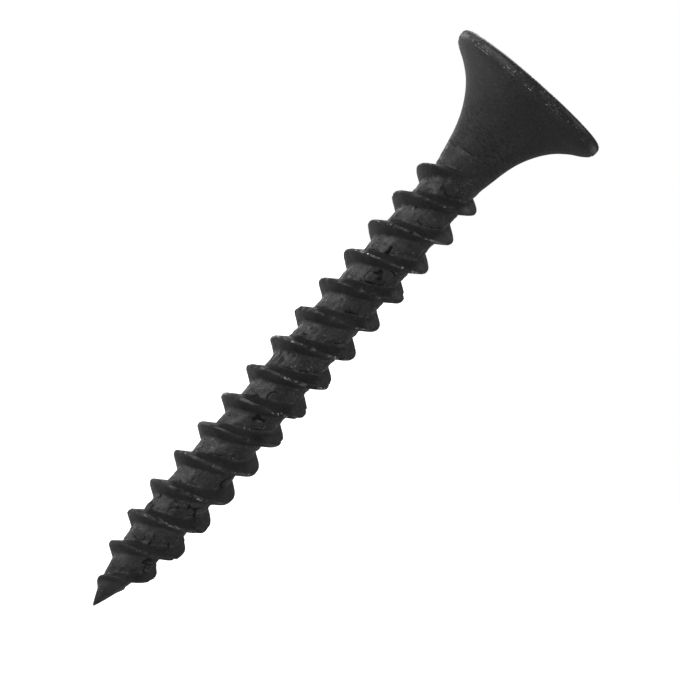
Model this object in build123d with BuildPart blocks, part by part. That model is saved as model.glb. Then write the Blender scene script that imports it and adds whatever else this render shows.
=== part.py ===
from build123d import *
from math import cos, pi, sin
import os

# Twin-start wood screw, millimetres, +Z up, head up.
# The origin is the middle of the head's flat top; the point is at -Z.

# Overall
length = 32.0
nose_radius = 0.05

# Head: flat top, rounded rim band, trumpet-shaped underside
head_radius = 4.21
flat_radius = 3.92
rim_top = -0.26
rim_bottom = -0.58

# Neck: it ends as a blunt cone inside the threaded shank
neck_end = -6.75
neck_end_radius = 1.0

# Thread: two starts, right-hand
lead = 3.53
core_radius = 1.145
crest_radius = 1.775
crest_half_width = 0.06
flank_slope = 0.57
root_blend = 0.18
first_crest = -6.25

# Height, root radius and crest radius down the threaded shank: run-in
# below the neck, constant middle, then the taper to the point
thread_marks = (
    (-4.75, core_radius, 1.24),
    (-5.25, core_radius, 1.42),
    (-5.75, core_radius, 1.62),
    (-6.25, core_radius, 1.74),
    (-7.0, core_radius, crest_radius),
    (-8.5, core_radius, crest_radius),
    (-11.0, core_radius, crest_radius),
    (-14.0, core_radius, crest_radius),
    (-18.0, core_radius, crest_radius),
    (-22.0, core_radius, crest_radius),
    (-24.0, core_radius, crest_radius),
    (-25.5, core_radius, 1.765),
    (-26.5, 1.12, 1.735),
    (-27.5, 1.06, 1.65),
    (-28.5, 0.94, 1.49),
    (-29.25, 0.83, 1.31),
    (-30.0, 0.7, 1.1),
    (-31.0, 0.43, 0.62),
    (-31.5, 0.15, 0.2),
)

# Point: a plain cone that starts inside the last of the thread
cone_top = -30.9
cone_top_radius = 0.41

# Cross recess: lip, narrowing wings, star floor, pyramid bottom
recess_reach = 2.66
recess_wing = 0.6
lip = 0.16
lip_depth = 0.14
inner_corner = 0.75
floor_reach = 1.27
floor_wing = 0.37
floor_corner = 0.3
floor_depth = 2.45
recess_depth = 3.0


def polar(radius, angle):
    return (radius * cos(angle), radius * sin(angle))


def crest_angle(height):
    """Angle of the first start's crest at a height, in radians."""
    return 2 * pi * (height - first_crest) / lead


def flank(core, crest, middle):
    """Radius and angle up one flank, from its hollowed foot to the crest."""
    rise = crest - core
    blend = root_blend * rise / (crest_radius - core_radius)
    steps = (
        (0.0, crest_half_width + flank_slope * rise + blend),
        (0.15, crest_half_width + flank_slope * rise * 0.85 + blend * 0.25),
        (0.5, crest_half_width + flank_slope * rise * 0.5),
        (1.0, crest_half_width),
    )
    return [(core + rise * share, middle - 2 * pi * width / lead) for share, width in steps]


def thread_section(height, core, crest):
    """Cross-section of the threaded shank: a round core with two ridges."""
    with BuildSketch(Plane.XY.offset(height)) as section:
        with BuildLine():
            for start in (0, pi):
                middle = crest_angle(height) + start
                rising = flank(core, crest, middle)
                falling = [(r, 2 * middle - a) for r, a in reversed(rising)]
                foot = falling[-1][1]
                following = rising[0][1] + pi
                Spline(*[polar(r, a) for r, a in rising])
                ThreePointArc(
                    polar(*rising[-1]),
                    polar(crest, middle),
                    polar(*falling[0]),
                )
                Spline(*[polar(r, a) for r, a in falling])
                ThreePointArc(
                    polar(core, foot),
                    polar(core, (foot + following) / 2),
                    polar(core, following),
                )
        make_face()
    return section.sketch


def threaded_shank():
    """Core and both ridges in one twisted sweep, from the neck to the point."""
    top = thread_marks[0][0]
    bottom = thread_marks[-1][0]
    with BuildPart() as shank:
        sweep(
            sections=[thread_section(*mark) for mark in reversed(thread_marks)],
            path=Line((0, 0, bottom), (0, 0, top)),
            multisection=True,
            binormal=Helix(lead, top - bottom, 3.0, center=(0, 0, bottom)),
        )
    return shank.part


def head_and_neck():
    """Head blank and neck, turned about Z."""
    with BuildPart() as head:
        with BuildSketch(Plane.XZ):
            with BuildLine():
                Line((0, 0), (flat_radius, 0))
                Spline(
                    (flat_radius, 0),
                    (4.13, -0.09),
                    (head_radius, rim_top),
                    tangents=((1, 0), (0, -1)),
                )
                Line((head_radius, rim_top), (head_radius, rim_bottom))
                Spline(
                    (head_radius, rim_bottom),
                    (3.92, -0.84),
                    (3.3, -1.22),
                    (2.66, -1.79),
                    (2.13, -2.54),
                    (1.75, -3.3),
                    (1.52, -4.05),
                    (1.37, -4.8),
                    (1.26, -5.5),
                    (neck_end_radius, neck_end),
                    tangents=((0, -1), (-0.25, -1)),
                )
                Line((neck_end_radius, neck_end), (0, neck_end))
                Line((0, neck_end), (0, 0))
            make_face()
        revolve(axis=Axis.Z)
    return head.part


def plain_point():
    """The last of the point, ending in a tiny blunt nose."""
    with BuildPart() as cone:
        with BuildSketch(Plane.XZ):
            with BuildLine():
                Line((0, cone_top), (cone_top_radius, cone_top))
                Line((cone_top_radius, cone_top), (nose_radius, -length))
                Line((nose_radius, -length), (0, -length))
                Line((0, -length), (0, cone_top))
            make_face()
        revolve(axis=Axis.Z)
    return cone.part


def cross_outline(height, reach, wing, corner):
    """A cross of four equal wings that flare a little, with soft inner corners."""
    flare = wing * 1.1
    near = wing + corner
    bend = (wing * 1.5 + corner * 0.36) / 2**0.5
    with BuildSketch(Plane.XY.offset(height)) as outline:
        with BuildLine():
            for quarter in range(4):
                turn = quarter * 90
                first = Vector(reach, -wing).rotate(Axis.Z, turn)
                second = Vector(reach, wing).rotate(Axis.Z, turn)
                third = Vector(near, flare).rotate(Axis.Z, turn)
                middle = Vector(bend, bend).rotate(Axis.Z, turn)
                fourth = Vector(flare, near).rotate(Axis.Z, turn)
                following = Vector(wing, reach).rotate(Axis.Z, turn)
                Line(first, second)
                Line(second, third)
                ThreePointArc(third, middle, fourth)
                Line(fourth, following)
        make_face()
    return outline.sketch


def recess():
    """The hollow of the cross recess."""
    mouth = cross_outline(-lip_depth, recess_reach, recess_wing, inner_corner)
    floor = cross_outline(-floor_depth, floor_reach, floor_wing, floor_corner)
    with BuildPart() as hollow:
        loft([cross_outline(0, recess_reach + lip, recess_wing + lip, inner_corner), mouth])
        loft([mouth, floor])
        loft([floor, cross_outline(-recess_depth, 0.12, 0.06, 0.04)])
    return hollow.part


os.makedirs("parts", exist_ok=True)

with BuildPart() as screw:
    add(head_and_neck())
    add(threaded_shank())
    add(plain_point())
    add(recess(), mode=Mode.SUBTRACT)

screw.part.label = "screw"
export_step(screw.part, "parts/screw.step")
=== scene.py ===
import bpy
import bmesh
from math import cos, pi, radians, sin, sqrt
from mathutils import Matrix, Vector, noise


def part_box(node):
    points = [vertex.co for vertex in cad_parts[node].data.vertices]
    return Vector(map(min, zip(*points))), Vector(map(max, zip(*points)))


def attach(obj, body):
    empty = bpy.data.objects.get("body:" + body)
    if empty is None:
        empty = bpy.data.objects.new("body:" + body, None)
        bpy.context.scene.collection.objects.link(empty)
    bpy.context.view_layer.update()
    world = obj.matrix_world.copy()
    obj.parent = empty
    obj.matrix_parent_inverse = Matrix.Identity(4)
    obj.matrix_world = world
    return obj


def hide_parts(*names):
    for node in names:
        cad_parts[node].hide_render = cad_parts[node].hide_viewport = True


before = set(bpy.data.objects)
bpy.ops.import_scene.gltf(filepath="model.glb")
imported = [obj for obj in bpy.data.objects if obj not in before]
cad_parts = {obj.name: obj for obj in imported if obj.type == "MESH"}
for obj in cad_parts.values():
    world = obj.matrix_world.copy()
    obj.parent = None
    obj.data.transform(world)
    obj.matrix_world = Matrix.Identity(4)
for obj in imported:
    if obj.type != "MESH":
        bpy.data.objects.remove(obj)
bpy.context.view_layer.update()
nodeLow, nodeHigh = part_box("screw")
headTop = nodeHigh[2]
mm = 0.001

# Lengths in millimetres, heights counted from the head's flat top.
screwShape = {
    "columns": 192,
    "length": 32.0,
    "lead": 3.53,
    "firstCrest": -6.25,
    "crestHalfWidth": 0.045,
    "upperSlope": 0.57,
    "lowerSlope": 0.6,
    "crestSag": 0.06,
    "sagRange": (10.0, 24.0),
    "footSoftness": 0.045,
    "threadZoneTop": -4.6,
    "threadZoneBottom": -31.7,
    "facetTop": -29.9,
    "facetSlope": 0.3,
    "facetTurn": -0.25,
    "headLean": 0.019,
    "leanFrom": -3.0,
    "headRadius": 4.21,
    "noseRadius": 0.05,
    "noseHeight": 0.03,
}

# Distance from the crest line, along the axis, of each row of vertices in one pitch of 1.76.
rowsPitch = 1.76
pitchRows = [
    -0.88, -0.79, -0.70, -0.61, -0.54, -0.48, -0.43, -0.38, -0.31, -0.24, -0.17, -0.11, -0.07, -0.035,
    0.0, 0.035, 0.07, 0.11, 0.17, 0.24, 0.31, 0.38, 0.43, 0.48, 0.54, 0.61, 0.70, 0.79,
]

# (height, radius) points of smooth curves: down the trumpet, neck and root, and down the crests.
coreMarks = [
    (-0.58, 4.2), (-0.84, 3.9), (-1.22, 3.3), (-1.79, 2.66), (-2.54, 2.13), (-3.3, 1.76), (-4.05, 1.53),
    (-4.8, 1.37), (-5.5, 1.23), (-6.4, 1.155), (-24.5, 1.155), (-26.2, 1.14), (-27.5, 1.07),
    (-29.25, 0.84), (-31.0, 0.46), (-32.0, 0.05),
]
crestMarks = [
    (-4.6, 1.28), (-5.3, 1.46), (-6.1, 1.74), (-6.7, 1.805), (-24.0, 1.8), (-25.5, 1.79),
    (-27.5, 1.67), (-28.5, 1.52), (-30.0, 1.12), (-30.9, 0.68), (-32.0, 0.02),
]


def steepness(marks, index):
    # slope of the curve at one mark, level where the marks on either side turn back
    slopes = []
    for first in (index - 1, index):
        if 0 <= first < len(marks) - 1:
            (highZ, highR), (lowZ, lowR) = marks[first:first + 2]
            slopes.append((lowR - highR) / (lowZ - highZ))
    before, after = slopes[0], slopes[-1]
    return 0.0 if before * after <= 0 else 2 * before * after / (before + after)


def between(marks, height):
    # radius at a height on the smooth curve through the marks
    if height >= marks[0][0]:
        return marks[0][1]
    for index in range(len(marks) - 1):
        (highZ, highR), (lowZ, lowR) = marks[index:index + 2]
        if height >= lowZ:
            span = lowZ - highZ
            share = (height - highZ) / span
            rest = 1 - share
            middle = highR * rest * rest * (1 + 2 * share) + lowR * share * share * (3 - 2 * share)
            leave = steepness(marks, index) * span * share * rest * rest
            arrive = -steepness(marks, index + 1) * span * share * share * rest
            return middle + leave + arrive
    return marks[-1][1]


def clamp(value, low=0.0, high=1.0):
    return max(low, min(high, value))


def smooth(low, high, value):
    share = clamp((value - low) / (high - low))
    return share * share * (3 - 2 * share)


def wobble(x, y, z, size, seed=0.0):
    return noise.noise(Vector((x / size + seed * 7.31, y / size - seed * 3.17, z / size + seed * 5.93)))


def wobbleOnShank(angle, z, sizeRound, sizeAlong, seed, radius=1.6):
    # stretched noise that closes on itself around the shank
    x = cos(angle) * radius / sizeRound
    y = sin(angle) * radius / sizeRound
    return noise.noise(Vector((x + seed * 4.1, y - seed * 2.7, z / sizeAlong + seed * 9.3)))


threadHeight = 0.655  # full height of the thread over the root
threadWear = {
    "crestWave": 0.035,
    "crestUnevenness": 0.012,
    "nickDepth": 0.18,
    "nickCount": 95,
    "nickTop": -5.8,
    "nickReach": 25.0,
    "rootLump": 0.055,
    "rootPit": 0.035,
    "crackWidth": 0.07,
    # foot line of the upper flank: a dip in the shape, painted dark as a painted shadow line
    "shadowSeamAt": 0.47,
    "shadowSeamWidth": 0.06,
    "flankRipple": 0.03,
    "lowCrestDull": 0.22,
    "dullRange": (17.0, 24.0),
    # depths over which the marks of rolling and the painted root light come in below the neck and fade at
    # the point
    "rootsTop": (6.6, 7.6),
    "rootsPoint": (29.3, 30.2),
}


def makeNicks():
    noise.seed_set(41)
    nicks = []
    for index in range(threadWear["nickCount"]):
        turn = noise.random() * 2 * pi
        height = threadWear["nickTop"] - noise.random() * threadWear["nickReach"]
        nicks.append((turn, height, 0.08 + 0.14 * noise.random(), 0.25 + 0.75 * noise.random()))
    return nicks


nickBins = {}
for nick in makeNicks():
    nickBins.setdefault(int(-nick[1]), []).append(nick)


def nickAt(angle, height, radius):
    # how far a knock has flattened the crest at one place, 0 to 1
    bite = 0.0
    key = int(-height)
    for near in (key - 1, key, key + 1):
        for turn, nickHeight, width, depth in nickBins.get(near, ()):
            across = abs((angle - turn + pi) % (2 * pi) - pi) * radius
            along = abs(height - nickHeight)
            if across < width * 2 and along < 0.9:
                bite = max(bite, depth * (1 - smooth(0.2, 2.0, across / width)))
    return bite


neckFold = {
    "turn": -2.3,
    "spread": 1.0,
    "height": -4.46,
    "rise": 0.15,
    "width": 0.05,
    "depth": 0.06,
    "ringsTop": -2.3,
    "skinBottom": -5.7,
}


def neckFoldAt(angle, height):
    # the crosswise fold above the first thread, and the rough skin below it
    turn = (angle - neckFold["turn"] + pi) % (2 * pi) - pi
    reach = 1 - smooth(0.6, 1.0, abs(turn) / neckFold["spread"])
    if reach == 0.0:
        return 0.0, 0.0
    line = neckFold["height"] + turn * neckFold["rise"] + wobbleOnShank(angle, 0, 0.3, 1.0, 16) * 0.1
    away = (height - line) / neckFold["width"]
    fold = reach * (1 - smooth(0.0, 1.6, abs(away)))
    return fold, reach * smooth(0.0, 1.5, -away)


def neckPoint(angle, height):
    # radius of the trumpet and neck, with its fold, roughness and turning rings
    radius = between(coreMarks, height)
    grain = wobbleOnShank(angle, height, 0.12, 2.2, 8) * 0.005
    swell = wobbleOnShank(angle, height, 1.6, 1.3, 9) * 0.012
    fold, rough = neckFoldAt(angle, height)
    lump = wobbleOnShank(angle, height, 0.35, 0.16, 17) * 0.035 * rough
    rings = smooth(-neckFold["ringsTop"], 0.8 - neckFold["ringsTop"], -height)
    return radius + grain + swell + lump - fold * neckFold["depth"], fold, max(fold, 0.6 * rough), rings


def shankPoint(angle, height, fromCrest):
    # radius of the threaded shank, with how exposed, how deep and how folded the spot is; the fold value
    # also holds the painted shadow line at the upper flank's foot
    core = between(coreMarks, height)
    crest = between(crestMarks, height)
    rise = max(0.0, crest - core)
    full = clamp(rise / threadHeight)
    rise += wobbleOnShank(angle, height, 1.5, 1.2, 1) * threadWear["crestWave"] * full
    halfWidth = screwShape["crestHalfWidth"] * (1 + 0.7 * wobbleOnShank(angle, height, 0.9, 0.8, 10)) * full
    away = max(0.0, abs(fromCrest) - halfWidth)
    slope = screwShape["upperSlope"]
    if fromCrest < 0:
        # crests sag towards the point in the lower half
        away = max(0.0, away - screwShape["crestSag"] * smooth(*screwShape["sagRange"], -height) * full)
        slope = screwShape["lowerSlope"]
    straight = rise - away / slope
    soft = screwShape["footSoftness"] * full + 0.001
    lift = (straight + sqrt(straight * straight + soft * soft)) / 2
    cap = rise + 0.01 - nickAt(angle, height, core + rise) * threadWear["nickDepth"] * full
    cap += wobbleOnShank(angle, height, 0.3, 0.25, 2) * threadWear["crestUnevenness"] * full
    over = lift - cap
    lift = cap + (over - sqrt(over * over + 0.0009)) / 2
    lift = max(lift, 0.0)
    isCrest = smooth(0.84, 1.0, lift / max(rise, 0.05)) if rise > 0.05 else 0.0
    rootness = (1 - smooth(0.03, 0.16, lift / threadHeight)) if rise > 0.05 else 0.0
    lump = wobbleOnShank(angle, height, 0.6, 0.34, 3) + 0.5 * wobbleOnShank(angle, height, 0.25, 0.17, 4)
    lump += 0.6 * max(0.0, wobbleOnShank(angle, height, 0.42, 0.5, 14))
    fold = abs(wobbleOnShank(angle, height, 0.55, 0.4, 5) + 0.3 * wobbleOnShank(angle, height, 0.2, 0.16, 6))
    patch = smooth(0.1, 0.3, wobbleOnShank(angle, height, 1.1, 0.9, 7))
    crackAndShadowLine = (1 - smooth(0.0, threadWear["crackWidth"], fold)) * patch
    radius = core + lift
    rough = full
    if height > neckFold["skinBottom"]:
        rootness = max(rootness, 0.6 * (1 - lift / threadHeight))
        rough = max(full, 0.7 * neckFoldAt(angle, height)[1])
    radius += lump * threadWear["rootLump"] * rootness * rough
    ripple = wobbleOnShank(angle, height, 0.4, 0.22, 15) * threadWear["flankRipple"]
    radius += ripple * (1 - rootness) * (1 - isCrest) * full
    # thin fold along the foot of the upper flank, in broken lengths: a dip in the shape, and painted dark as
    # well, a painted shadow line along the foot
    shadowSeam = 1 - smooth(0.0, 1.0, abs(fromCrest - threadWear["shadowSeamAt"]) / threadWear["shadowSeamWidth"])
    shadowSeam *= smooth(0.0, 0.15, wobbleOnShank(angle, height, 0.9, 0.9, 18)) * full
    crackAndShadowLine = max(crackAndShadowLine, shadowSeam)
    radius -= crackAndShadowLine * threadWear["rootPit"] * full * (0.25 + 0.75 * rootness)
    fading = 1 - 0.8 * smooth(*threadWear["rootsPoint"], -height)
    rootness *= fading * (0.55 + 0.45 * smooth(*threadWear["rootsTop"], -height))
    wear = isCrest * full * (1 - threadWear["lowCrestDull"] * smooth(*threadWear["dullRange"], -height))
    return radius, wear, rootness, crackAndShadowLine


recessShape = {
    "reach": 2.66,
    "halfWidth": 0.58,
    "flare": 0.2,
    "endRounding": 0.14,
    "innerRounding": 0.75,
    "lip": 0.15,
    "lipDepth": 0.13,
    "floorReach": 1.25,
    "floorHalfWidth": 0.36,
    "floorRounding": 0.45,
    "floorDepth": 2.4,
    "depth": 2.98,
    "wallSteps": 14,
    "floorSteps": 6,
    "grain": 0.008,
}


def wingQuarter(reach, half, flare, rounding, inner):
    # half a wing's end, its corner, its side and half the inner corner, for one eighth of the cross
    points = []
    for step in range(5):
        points.append((reach, (half - rounding) * step / 5))
    for step in range(5):
        turn = radians(90 * step / 5)
        points.append((reach - rounding + rounding * cos(turn), half - rounding + rounding * sin(turn)))
    # centre of the inner corner's arc lies on the diagonal
    wide = half + flare
    centre = wide + inner
    sideStart = reach - rounding
    sideEnd = centre
    for step in range(8):
        share = step / 8
        x = sideStart + (sideEnd - sideStart) * share
        points.append((x, half + flare * share * share))
    for step in range(7):
        turn = radians(45 * step / 6)
        points.append((centre - inner * sin(turn), centre - inner * cos(turn)))
    return points


def crossOutline(reach, half, flare, rounding, inner):
    # 192 points around the cross, starting in the middle of the wing on +X
    eighth = wingQuarter(reach, half, flare, rounding, inner)
    quarter = eighth + [(y, x) for x, y in reversed(eighth[:-1])]
    outline = []
    for quadrant in range(4):
        c, s = ((1, 0), (0, 1), (-1, 0), (0, -1))[quadrant]
        for x, y in quarter[:-1]:
            outline.append((x * c - y * s, x * s + y * c))
    return outline


def recessRings():
    # (height, outline, wear) from the mouth down to the bottom
    r = recessShape
    rings = []
    for share in (0.0, 0.3, 0.6, 0.85, 1.0):
        bulge = sqrt(max(0.0, 1 - (1 - share) ** 2))
        lip = r["lip"] * (1 - bulge)
        outline = crossOutline(
            r["reach"] + lip,
            r["halfWidth"] + lip,
            r["flare"],
            r["endRounding"],
            r["innerRounding"],
        )
        rings.append((-r["lipDepth"] * share, outline, 1.0 - 0.6 * share ** 3))
    for step in range(1, r["wallSteps"] + 1):
        share = step / r["wallSteps"]
        outline = crossOutline(
            r["reach"] + (r["floorReach"] - r["reach"]) * share,
            r["halfWidth"] + (r["floorHalfWidth"] - r["halfWidth"]) * share ** 5,
            r["flare"] * (1 - 0.6 * share),
            r["endRounding"] * (1 - 0.5 * share),
            r["innerRounding"] + (r["floorRounding"] - r["innerRounding"]) * share,
        )
        rings.append((-r["lipDepth"] + (r["lipDepth"] - r["floorDepth"]) * share, outline, 0.0))
    last = rings[-1][1]
    for step in range(1, r["floorSteps"]):
        share = step / r["floorSteps"]
        outline = [(x * (1 - share), y * (1 - share)) for x, y in last]
        rings.append((-r["floorDepth"] + (r["floorDepth"] - r["depth"]) * share, outline, 0.0))
    return rings


def floorHeight(x, y):
    # four flat faces between the wings, lowest in the middle
    r = recessShape
    return -r["depth"] + (r["depth"] - r["floorDepth"]) * min(1.0, (abs(x) + abs(y)) / r["floorReach"])


headShape = {
    "flatRadius": 3.9,
    "rimRadius": 4.2085,
    "rimTop": -0.26,
    "dent": 0.012,
    "rimBump": 0.018,
    "trumpetTop": -0.68,
    "flatSteps": 8,
    "flatMottle": 0.8,
    # (inset, height, wear) of the band under the rounded edge
    "band": [
        (0.005, -0.34, 0.64), (0.01, -0.42, 0.66), (0.02, -0.49, 0.5),
        (0.03, -0.525, 1.0), (0.055, -0.555, 0.3), (0.09, -0.61, 0.0),
    ],
}


def rimProfile():
    # (radius, height, wear) from the flat's edge round the rim to the trumpet
    h = headShape
    profile = []
    reach = h["rimRadius"] - h["flatRadius"]
    for step in range(0, 7):
        turn = radians(90 * step / 6)
        wear = 0.85 if step < 3 else 0.62
        profile.append((h["flatRadius"] + reach * sin(turn), h["rimTop"] * (1 - cos(turn)), wear))
    for inset, height, wear in h["band"]:
        profile.append((h["rimRadius"] - inset, height, wear))
    return profile


def buildScrew():
    n = screwShape["columns"]
    bm = bmesh.new()
    wearLayer = bm.verts.layers.float.new("edgeWear")
    rootLayer = bm.verts.layers.float.new("threadRoot")
    foldAndShadowLayer = bm.verts.layers.float.new("foldAndShadowLine")
    mottleLayer = bm.verts.layers.float.new("mottleAmount")
    ringLayer = bm.verts.layers.float.new("turnedRings")

    def place(x, y, z, wear=0.0, root=0.0, crackAndShadowLine=0.0, mottle=0.0, rings=0.0):
        if z < screwShape["facetTop"]:
            # the point is pinched flat on one side, as the cut-off leaves it
            limit = 0.05 + (z + screwShape["length"]) * screwShape["facetSlope"]
            reach = x * cos(screwShape["facetTurn"]) + y * sin(screwShape["facetTurn"])
            if reach > limit:
                x -= (reach - limit) * cos(screwShape["facetTurn"])
                y -= (reach - limit) * sin(screwShape["facetTurn"])
        if z > screwShape["leanFrom"]:
            drop = screwShape["headLean"] * (x + screwShape["headRadius"])
            z -= drop * smooth(screwShape["leanFrom"], -0.6, z)
        vert = bm.verts.new((x * mm, y * mm, z * mm + headTop))
        vert[wearLayer] = wear
        vert[rootLayer] = root
        vert[foldAndShadowLayer] = crackAndShadowLine
        vert[mottleLayer] = mottle
        vert[ringLayer] = rings
        return vert

    def bridge(upper, lower, finish=0):
        for i in range(n):
            k = (i + 1) % n
            face = bm.faces.new((upper[i], upper[k], lower[k], lower[i]))
            face.material_index = finish

    angles = [2 * pi * i / n for i in range(n)]

    # recess, from the bottom up, in the second material, painted darker as painted shade
    rings = recessRings()
    bottom = place(0, 0, -recessShape["depth"])
    previous = None
    for height, outline, wear in reversed(rings):
        ring = []
        for x, y in outline:
            grain = wobble(x, y, height, 0.3, 11) * recessShape["grain"]
            level = height if height > -recessShape["floorDepth"] else floorHeight(x, y)
            ring.append(place(x * (1 + grain), y * (1 + grain), level, wear))
        if previous is None:
            for i in range(n):
                bm.faces.new((bottom, ring[i], ring[(i + 1) % n])).material_index = 1
        else:
            bridge(previous, ring, 1)
        previous = ring
    mouth = rings[0][1]

    # flat top, from the recess mouth out to the rim
    steps = headShape["flatSteps"]
    for step in range(1, steps + 1):
        share = step / steps
        wear = 1.0 if step == steps else 0.55 if step == 1 else 0.0
        ring = []
        for i in range(n):
            edge = headShape["flatRadius"]
            x = mouth[i][0] + (edge * cos(angles[i]) - mouth[i][0]) * share
            y = mouth[i][1] + (edge * sin(angles[i]) - mouth[i][1]) * share
            dent = (wobble(x, y, 0, 0.9, 12) - 0.5) * headShape["dent"] * sin(pi * share)
            ring.append(place(x, y, min(0.0, dent), wear, mottle=headShape["flatMottle"]))
        bridge(previous, ring)
        previous = ring

    # rim and trumpet, as rings
    for radius, height, wear in rimProfile()[1:]:
        ring = []
        for angle in angles:
            bump = abs(wobbleOnShank(angle, height, 0.3, 0.25, 13, 4.2)) * headShape["rimBump"]
            ring.append(place((radius - bump) * cos(angle), (radius - bump) * sin(angle), height, wear))
        bridge(previous, ring)
        previous = ring
    # rows down the trumpet, closest together where the neck is folded
    heights = []
    z = headShape["trumpetTop"]
    while z > screwShape["threadZoneTop"] + 0.05:
        heights.append(z)
        z -= 0.1 if z > -2.5 else 0.13 if z > -3.7 else 0.06
    heights.append(screwShape["threadZoneTop"])
    for height in heights:
        ring = []
        for angle in angles:
            radius, crackAndShadowLine, root, rings = neckPoint(angle, height)
            x, y = radius * cos(angle), radius * sin(angle)
            ring.append(place(x, y, height, root=root, crackAndShadowLine=crackAndShadowLine, rings=rings))
        bridge(previous, ring)
        previous = ring
    topRing = previous

    # threaded shank: rows follow the helix, and stop on a flat ring at each end
    top = screwShape["threadZoneTop"]
    low = screwShape["threadZoneBottom"]
    lead = screwShape["lead"]
    pitch = lead / 2
    stretch = pitch / rowsPitch
    rowsPerPitch = len(pitchRows)
    margin = 0.02
    lowRing = []
    for angle in angles:
        radius = between(coreMarks, low)
        lowRing.append(place(radius * cos(angle), radius * sin(angle), low, wear=0.4, mottle=1.0))
    grid = {}

    def rowHeight(i, j):
        turns, k = divmod(j, rowsPerPitch)
        return screwShape["firstCrest"] + turns * pitch + pitchRows[k] * stretch + lead * i / n

    def shankVert(i, j):
        if i == n:
            i = 0
            j += 2 * rowsPerPitch
        height = rowHeight(i, j)
        if height > top - margin:
            return topRing[i]
        if height < low + margin:
            return lowRing[i]
        if (i, j) not in grid:
            angle = angles[i]
            radius, wear, root, crackAndShadowLine = shankPoint(angle, height, pitchRows[j % rowsPerPitch] * stretch)
            grid[(i, j)] = place(radius * cos(angle), radius * sin(angle), height, wear, root, crackAndShadowLine, 1.0)
        return grid[(i, j)]

    firstRow = int((low - screwShape["firstCrest"] - lead) / pitch - 2) * rowsPerPitch
    lastRow = int((top - screwShape["firstCrest"]) / pitch + 2) * rowsPerPitch
    for i in range(n):
        for j in range(firstRow, lastRow):
            corners = [shankVert(i, j), shankVert(i + 1, j), shankVert(i + 1, j + 1), shankVert(i, j + 1)]
            unique = []
            for vert in corners:
                if vert not in unique:
                    unique.append(vert)
            if len(unique) >= 3:
                bm.faces.new(unique)

    # nose
    tip = screwShape["noseRadius"]
    above = screwShape["noseHeight"] - screwShape["length"]
    ring = [place(tip * cos(a), tip * sin(a), above, wear=0.8, mottle=1.0) for a in angles]
    bridge(lowRing, ring)
    nose = place(0, 0, -screwShape["length"], wear=0.8, mottle=1.0)
    for i in range(n):
        bm.faces.new((ring[i], ring[(i + 1) % n], nose))

    bmesh.ops.recalc_face_normals(bm, faces=bm.faces)
    mesh = bpy.data.meshes.new("screwBody")
    bm.to_mesh(mesh)
    bm.free()
    for polygon in mesh.polygons:
        polygon.use_smooth = True
    screw = bpy.data.objects.new("screwBody", mesh)
    bpy.context.collection.objects.link(screw)
    return screw


screw = buildScrew()
triangles = sum(len(polygon.vertices) - 2 for polygon in screw.data.polygons)
print("screw mesh:", len(screw.data.vertices), "vertices", triangles, "triangles")


# Linear colours of the finish, with painted light in the thread roots and painted shadow lines at the flank
# feet.
phosphate = {
    "dark": (0.0105, 0.0105, 0.0108, 1.0),
    "light": (0.033, 0.033, 0.0338, 1.0),
    # painted light: how much lighter the thread roots are painted than the flanks
    "rootLightLift": 1.8,
    # dark of the cracks, also used for the painted shadow line at the upper flank's foot
    "crackAndShadowLine": (0.0025, 0.0025, 0.0025, 1.0),
    "fleck": (0.16, 0.16, 0.162, 1.0),
    "worn": (0.14, 0.14, 0.143, 1.0),
    "bright": (0.6, 0.6, 0.61, 1.0),
    "specular": 0.24,
    "bump": 0.6,
    "grainDepth": 0.00002,
    "crackDrop": 1.8,
    "fleckInRoots": 0.7,
    "fleckElsewhere": 0.12,
    "rubbedShare": 0.75,
    "rubbedSmoothing": 0.2,
    "toneSmoothing": 0.1,
    "speckMetal": 0.7,
}


def socket(group, name, side, kind="NodeSocketFloat", value=None):
    made = group.interface.new_socket(name=name, in_out=side, socket_type=kind)
    if value is not None:
        made.default_value = value
    return made


def addNode(tree, kind, **settings):
    node = tree.nodes.new(kind)
    for name, value in settings.items():
        setattr(node, name, value)
    return node


def mathNode(tree, operation, first, second):
    node = addNode(tree, "ShaderNodeMath", operation=operation)
    for index, value in enumerate((first, second)):
        if isinstance(value, (int, float)):
            node.inputs[index].default_value = value
        elif value is not None:
            tree.links.new(value, node.inputs[index])
    return node.outputs[0]


def rangeNode(tree, value, low, high, toLow=0.0, toHigh=1.0):
    node = addNode(tree, "ShaderNodeMapRange", interpolation_type="SMOOTHSTEP")
    tree.links.new(value, node.inputs["Value"])
    node.inputs["From Min"].default_value = low
    node.inputs["From Max"].default_value = high
    node.inputs["To Min"].default_value = toLow
    node.inputs["To Max"].default_value = toHigh
    return node.outputs["Result"]


def noiseNode(tree, vector, scale, detail=3.0, roughness=0.55):
    node = addNode(tree, "ShaderNodeTexNoise")
    tree.links.new(vector, node.inputs["Vector"])
    node.inputs["Scale"].default_value = scale
    node.inputs["Detail"].default_value = detail
    node.inputs["Roughness"].default_value = roughness
    return node.outputs["Fac"]


def mixColour(tree, factor, first, second):
    node = addNode(tree, "ShaderNodeMix", data_type="RGBA")
    tree.links.new(factor, node.inputs[0])
    for index, value in ((6, first), (7, second)):
        if isinstance(value, tuple):
            node.inputs[index].default_value = value
        else:
            tree.links.new(value, node.inputs[index])
    return node.outputs[2]


def product(tree, first, second):
    return mathNode(tree, "MULTIPLY", first, second)


def total(tree, first, second):
    return mathNode(tree, "ADD", first, second)


def around(tree, value, strength):
    # noise about zero, times a strength
    return product(tree, mathNode(tree, "SUBTRACT", value, 0.5), strength)


def stretched(tree, vector, scale):
    node = addNode(tree, "ShaderNodeMapping")
    node.inputs["Scale"].default_value = scale
    tree.links.new(vector, node.inputs["Vector"])
    return node.outputs["Vector"]


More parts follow.
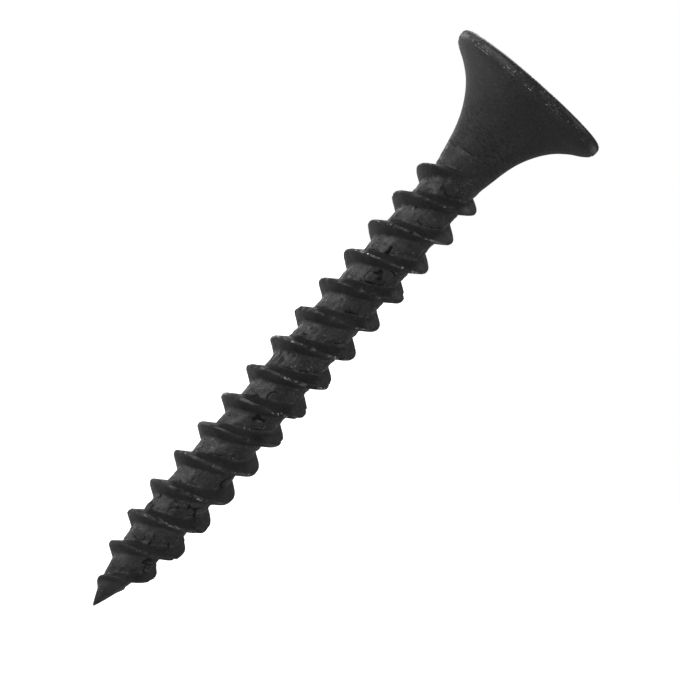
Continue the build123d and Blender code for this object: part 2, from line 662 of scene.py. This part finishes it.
# Noise scales, in cells to the metre.
crystals = {
    "fine": 21000.0,
    "grain": 7000.0,
    "cloud": 1100.0,
    "streak": 9000.0,
    "ring": 17000.0,
    "streakStretch": (1.0, 1.0, 0.06),
    "ringStretch": (0.2, 0.2, 1.0),
    "ringStrength": 0.8,
    "cloudStrength": 0.1,
    "mottleStrength": 0.3,
}


def crystalGrainGroup():
    # fine crystals, broad mottling, streaks along the wire and rings around it
    group = bpy.data.node_groups.new("crystalGrain", "ShaderNodeTree")
    socket(group, "Streaks", "INPUT", value=0.3)
    socket(group, "Rings", "INPUT", value=0.3)
    socket(group, "Mottle", "INPUT", value=0.0)
    socket(group, "Tone", "OUTPUT")
    socket(group, "Height", "OUTPUT")
    entry = group.nodes.new("NodeGroupInput")
    leave = group.nodes.new("NodeGroupOutput")
    spot = addNode(group, "ShaderNodeTexCoord").outputs["Object"]
    fine = noiseNode(group, spot, crystals["fine"], 2.0, 0.6)
    grain = noiseNode(group, spot, crystals["grain"], 3.0, 0.6)
    cloud = noiseNode(group, spot, crystals["cloud"], 3.0, 0.55)
    along = stretched(group, spot, crystals["streakStretch"])
    streak = noiseNode(group, along, crystals["streak"], 3.0, 0.6)
    across = stretched(group, spot, crystals["ringStretch"])
    ring = noiseNode(group, across, crystals["ring"], 2.0, 0.6)
    patchy = product(group, entry.outputs["Mottle"], crystals["mottleStrength"])
    patchy = total(group, patchy, crystals["cloudStrength"])
    streaks = around(group, streak, entry.outputs["Streaks"])
    rings = around(group, ring, product(group, entry.outputs["Rings"], crystals["ringStrength"]))
    lines = total(group, streaks, rings)
    tone = total(group, product(group, fine, 0.75), product(group, grain, 0.25))
    tone = total(group, tone, around(group, cloud, patchy))
    tone = total(group, tone, lines)
    group.links.new(rangeNode(group, tone, 0.33, 0.67), leave.inputs["Tone"])
    height = total(group, product(group, fine, 0.4), product(group, grain, 0.6))
    group.links.new(total(group, height, lines), leave.inputs["Height"])
    return group


# Noise scales with the range of noise that shows.
rubbing = {
    "broken": (1000.0, 0.49, 0.63),
    "speck": (8500.0, 0.56, 0.64),
    "rare": (900.0, 0.46, 0.58),
}


def rubbedEdgeGroup():
    # broken rubbed line along exposed edges, and bright specks in it
    group = bpy.data.node_groups.new("rubbedEdge", "ShaderNodeTree")
    socket(group, "Exposure", "INPUT", value=0.0)
    socket(group, "Rubbed", "OUTPUT")
    socket(group, "Specks", "OUTPUT")
    entry = group.nodes.new("NodeGroupInput")
    leave = group.nodes.new("NodeGroupOutput")
    spot = addNode(group, "ShaderNodeTexCoord").outputs["Object"]
    scale, low, high = rubbing["broken"]
    broken = rangeNode(group, noiseNode(group, spot, scale, 4.0, 0.7), low, high)
    scale, low, high = rubbing["speck"]
    speck = rangeNode(group, noiseNode(group, spot, scale, 2.0, 0.6), low, high)
    scale, low, high = rubbing["rare"]
    rare = rangeNode(group, noiseNode(group, spot, scale, 2.0, 0.5), low, high)
    line = rangeNode(group, entry.outputs["Exposure"], 0.5, 1.0)
    group.links.new(product(group, line, broken), leave.inputs["Rubbed"])
    group.links.new(product(group, product(group, line, speck), rare), leave.inputs["Specks"])
    return group


rollFolds = {
    # two webs of cracks: noise scale, scale of the patches they show in, shift
    "webs": [(600.0, 1000.0, 0.0), (800.0, 1100.0, 0.013)],
    "crackWidth": (0.006, 0.024),
    "crackPatch": (0.565, 0.59),
    "fleck": (9500.0, 0.6, 0.68),
    "fleckPatch": (1500.0, 0.47, 0.6),
}


def rollFoldGroup():
    # short cracks where the rolled metal folded over, fold lines with the painted shadow line at the upper
    # flank's foot, and the pale flecks between them
    group = bpy.data.node_groups.new("rollFolds", "ShaderNodeTree")
    socket(group, "Roots", "INPUT", value=0.0)
    socket(group, "FoldsAndShadowLines", "INPUT", value=0.0)
    socket(group, "CrackAndShadowLine", "OUTPUT")
    socket(group, "Fleck", "OUTPUT")
    entry = group.nodes.new("NodeGroupInput")
    leave = group.nodes.new("NodeGroupOutput")
    spot = addNode(group, "ShaderNodeTexCoord").outputs["Object"]
    hairs = None
    for scale, patchScale, shift in rollFolds["webs"]:
        moved = addNode(group, "ShaderNodeMapping")
        moved.inputs["Location"].default_value = (shift, -shift, shift)
        group.links.new(spot, moved.inputs["Vector"])
        web = noiseNode(group, moved.outputs["Vector"], scale, 1.0, 0.4)
        away = mathNode(group, "ABSOLUTE", mathNode(group, "SUBTRACT", web, 0.5), None)
        hair = rangeNode(group, away, *rollFolds["crackWidth"], 1.0, 0.0)
        patches = noiseNode(group, moved.outputs["Vector"], patchScale, 1.0, 0.5)
        hair = product(group, hair, rangeNode(group, patches, *rollFolds["crackPatch"]))
        hairs = hair if hairs is None else mathNode(group, "MAXIMUM", hairs, hair)
    hairs = product(group, hairs, entry.outputs["Roots"])
    # fold lines, including the painted shadow line at the upper flank's foot
    foldAndShadowMask = product(group, rangeNode(group, entry.outputs["FoldsAndShadowLines"], 0.5, 0.9), entry.outputs["Roots"])
    group.links.new(mathNode(group, "MAXIMUM", hairs, foldAndShadowMask), leave.inputs["CrackAndShadowLine"])
    scale, low, high = rollFolds["fleck"]
    dots = rangeNode(group, noiseNode(group, spot, scale, 2.0, 0.5), low, high)
    scale, low, high = rollFolds["fleckPatch"]
    patch = rangeNode(group, noiseNode(group, spot, scale, 2.0, 0.5), low, high)
    group.links.new(product(group, dots, patch), leave.inputs["Fleck"])
    return group


grainGroup = crystalGrainGroup()
edgeGroup = rubbedEdgeGroup()
foldGroup = rollFoldGroup()


def shade(name, depth):
    return tuple(channel * depth for channel in phosphate[name][:3]) + (1.0,)


def readAttribute(tree, name):
    return addNode(tree, "ShaderNodeAttribute", attribute_name=name).outputs["Fac"]


def phosphateMaterial(name, depth, streaks, roughness):
    material = bpy.data.materials.new(name)
    material.use_nodes = True
    tree = material.node_tree
    links = tree.links
    shader = tree.nodes["Principled BSDF"]
    shader.inputs["Specular IOR Level"].default_value = phosphate["specular"]
    roots = readAttribute(tree, "threadRoot")
    grain = addNode(tree, "ShaderNodeGroup", node_tree=grainGroup)
    grain.inputs["Streaks"].default_value = streaks
    links.new(readAttribute(tree, "turnedRings"), grain.inputs["Rings"])
    links.new(readAttribute(tree, "mottleAmount"), grain.inputs["Mottle"])
    edge = addNode(tree, "ShaderNodeGroup", node_tree=edgeGroup)
    links.new(readAttribute(tree, "edgeWear"), edge.inputs["Exposure"])
    folds = addNode(tree, "ShaderNodeGroup", node_tree=foldGroup)
    links.new(readAttribute(tree, "foldAndShadowLine"), folds.inputs["FoldsAndShadowLines"])
    links.new(roots, folds.inputs["Roots"])
    crackAndShadowLine = folds.outputs["CrackAndShadowLine"]

    # plain coating, painted lighter in the thread roots: painted light, where the sideways light falls on
    # the roots more than on the up- and down-facing flanks
    # depth scales every colour darker; the recess copy's depth of 0.6 is painted shade
    tone = grain.outputs["Tone"]
    colour = mixColour(tree, tone, shade("dark", depth), shade("light", depth))
    pale = depth * phosphate["rootLightLift"]
    rootLitColour = mixColour(tree, tone, shade("dark", pale), shade("light", pale))
    colour = mixColour(tree, roots, colour, rootLitColour)
    # flecks, cracks and painted shadow lines, rubbed edges and specks over it
    showing = total(tree, product(tree, roots, phosphate["fleckInRoots"]), phosphate["fleckElsewhere"])
    colour = mixColour(tree, product(tree, folds.outputs["Fleck"], showing), colour, phosphate["fleck"])
    # cracks painted dark; at the upper flank's foot this dark line is a painted shadow
    colour = mixColour(tree, crackAndShadowLine, colour, phosphate["crackAndShadowLine"])
    rubbed = product(tree, edge.outputs["Rubbed"], phosphate["rubbedShare"])
    colour = mixColour(tree, rubbed, colour, phosphate["worn"])
    colour = mixColour(tree, edge.outputs["Specks"], colour, phosphate["bright"])
    links.new(colour, shader.inputs["Base Color"])

    rough = total(tree, product(tree, tone, -phosphate["toneSmoothing"]), roughness)
    rough = mathNode(tree, "SUBTRACT", rough, product(tree, rubbed, phosphate["rubbedSmoothing"]))
    links.new(rough, shader.inputs["Roughness"])
    links.new(product(tree, edge.outputs["Specks"], phosphate["speckMetal"]), shader.inputs["Metallic"])
    dip = product(tree, crackAndShadowLine, phosphate["crackDrop"])
    height = mathNode(tree, "SUBTRACT", grain.outputs["Height"], dip)
    bump = addNode(tree, "ShaderNodeBump")
    bump.inputs["Strength"].default_value = phosphate["bump"]
    bump.inputs["Distance"].default_value = phosphate["grainDepth"]
    links.new(height, bump.inputs["Height"])
    links.new(bump.outputs["Normal"], shader.inputs["Normal"])
    return material


screw.data.materials.append(phosphateMaterial("blackPhosphate", depth=1.0, streaks=0.15, roughness=0.54))
# the recess copy has every colour 0.6 times darker: painted shade inside the recess
screw.data.materials.append(phosphateMaterial("recessPhosphatePaintedShade", depth=0.6, streaks=0.1, roughness=0.6))
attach(screw, "root")
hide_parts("screw")
print("material done")


studio = {
    "viewLean": 40.4,
    "viewHeight": 2.7,
    "viewDistance": 108.0,
    "focalLength": 121.95,
    "aimAcross": 0.75,
    "aimDown": -14.87,
    "floorDrop": 0.3,
    "roomLight": 0.03,
    "floorSeen": 0.93,
    "floorGlow": 0.85,
    "floorBounce": 0.2,
    "sunSoftness": 40,
}


def addFloor():
    bm = bmesh.new()
    bmesh.ops.create_grid(bm, x_segments=8, y_segments=8, size=3.0)
    mesh = bpy.data.meshes.new("paleFloor")
    bm.to_mesh(mesh)
    bm.free()
    floor = bpy.data.objects.new("paleFloor", mesh)
    floor.location = (0, 0, nodeLow[2] - studio["floorDrop"] * mm)
    # a thin pale sheet that lets the low light through
    floor.visible_shadow = False
    bpy.context.collection.objects.link(floor)
    paint = bpy.data.materials.new("paleFloorPaint")
    paint.use_nodes = True
    tree = paint.node_tree
    shader = tree.nodes["Principled BSDF"]
    # white to the eye, but dim to the screw, so the shaded side stays dark
    seen = tree.nodes.new("ShaderNodeLightPath").outputs["Is Camera Ray"]
    bounce = (studio["floorBounce"],) * 3 + (1.0,)
    white = (studio["floorSeen"],) * 3 + (1.0,)
    tree.links.new(mixColour(tree, seen, bounce, white), shader.inputs["Base Color"])
    glow = mixColour(tree, seen, (0.0, 0.0, 0.0, 1.0), (studio["floorGlow"],) * 3 + (1.0,))
    tree.links.new(glow, shader.inputs["Emission Color"])
    shader.inputs["Emission Strength"].default_value = 1.0
    shader.inputs["Roughness"].default_value = 0.9
    shader.inputs["Specular IOR Level"].default_value = 0.1
    mesh.materials.append(paint)


def addCamera():
    tilt = radians(studio["viewHeight"])
    lean = radians(studio["viewLean"])
    forward = Vector((0, cos(tilt), -sin(tilt)))
    across = Vector((1, 0, 0))
    upright = Vector((0, sin(tilt), cos(tilt)))
    up = upright * cos(lean) - across * sin(lean)
    right = upright * sin(lean) + across * cos(lean)
    aim = Vector((studio["aimAcross"] * mm, 0, headTop + studio["aimDown"] * mm))
    spot = aim - forward * studio["viewDistance"] * mm
    data = bpy.data.cameras.new("viewCamera")
    data.lens = studio["focalLength"]
    data.sensor_width = 36.0
    data.clip_start = 0.002
    data.clip_end = 20.0
    camera = bpy.data.objects.new("viewCamera", data)
    turn = Matrix((right, up, -forward)).transposed()
    camera.matrix_world = Matrix.Translation(spot) @ turn.to_4x4()
    bpy.context.collection.objects.link(camera)
    bpy.context.scene.camera = camera


# (name, degrees round from the front to the right, degrees up, strength)
suns = [
    ("keySun", -60, 10, 2.4),
    ("frontSun", -32, -15, 0.7),
    ("lowSun", 60, -40, 0.9),
    ("highSun", 85, 40, 1.1),
    ("leftSun", -90, -40, 1.3),
    ("edgeSun", -140, -15, 3.0),
    ("farSun", 140, -15, 0.7),
    ("backSun", -166, 40, 1.7),
]


def addSun(name, across, height, strength):
    data = bpy.data.lights.new(name, "SUN")
    data.energy = strength
    data.angle = radians(studio["sunSoftness"])
    sun = bpy.data.objects.new(name, data)
    turn = radians(across)
    rise = radians(height)
    toSun = Vector((sin(turn) * cos(rise), -cos(turn) * cos(rise), sin(rise)))
    sun.rotation_euler = (-toSun).to_track_quat("-Z", "Y").to_euler()
    bpy.context.collection.objects.link(sun)


def addWorld():
    world = bpy.data.worlds.new("whiteRoom")
    world.use_nodes = True
    tree = world.node_tree
    background = tree.nodes["Background"]
    background.inputs["Color"].default_value = (1, 1, 1, 1)
    path = tree.nodes.new("ShaderNodeLightPath")
    level = tree.nodes.new("ShaderNodeMapRange")
    level.inputs["To Min"].default_value = studio["roomLight"]
    level.inputs["To Max"].default_value = 1.0
    tree.links.new(path.outputs["Is Camera Ray"], level.inputs["Value"])
    tree.links.new(level.outputs["Result"], background.inputs["Strength"])
    bpy.context.scene.world = world
    bpy.context.scene.view_settings.view_transform = "Standard"
    bpy.context.scene.view_settings.look = "None"


addFloor()
addWorld()
for sun in suns:
    addSun(*sun)
addCamera()
print("stage done")
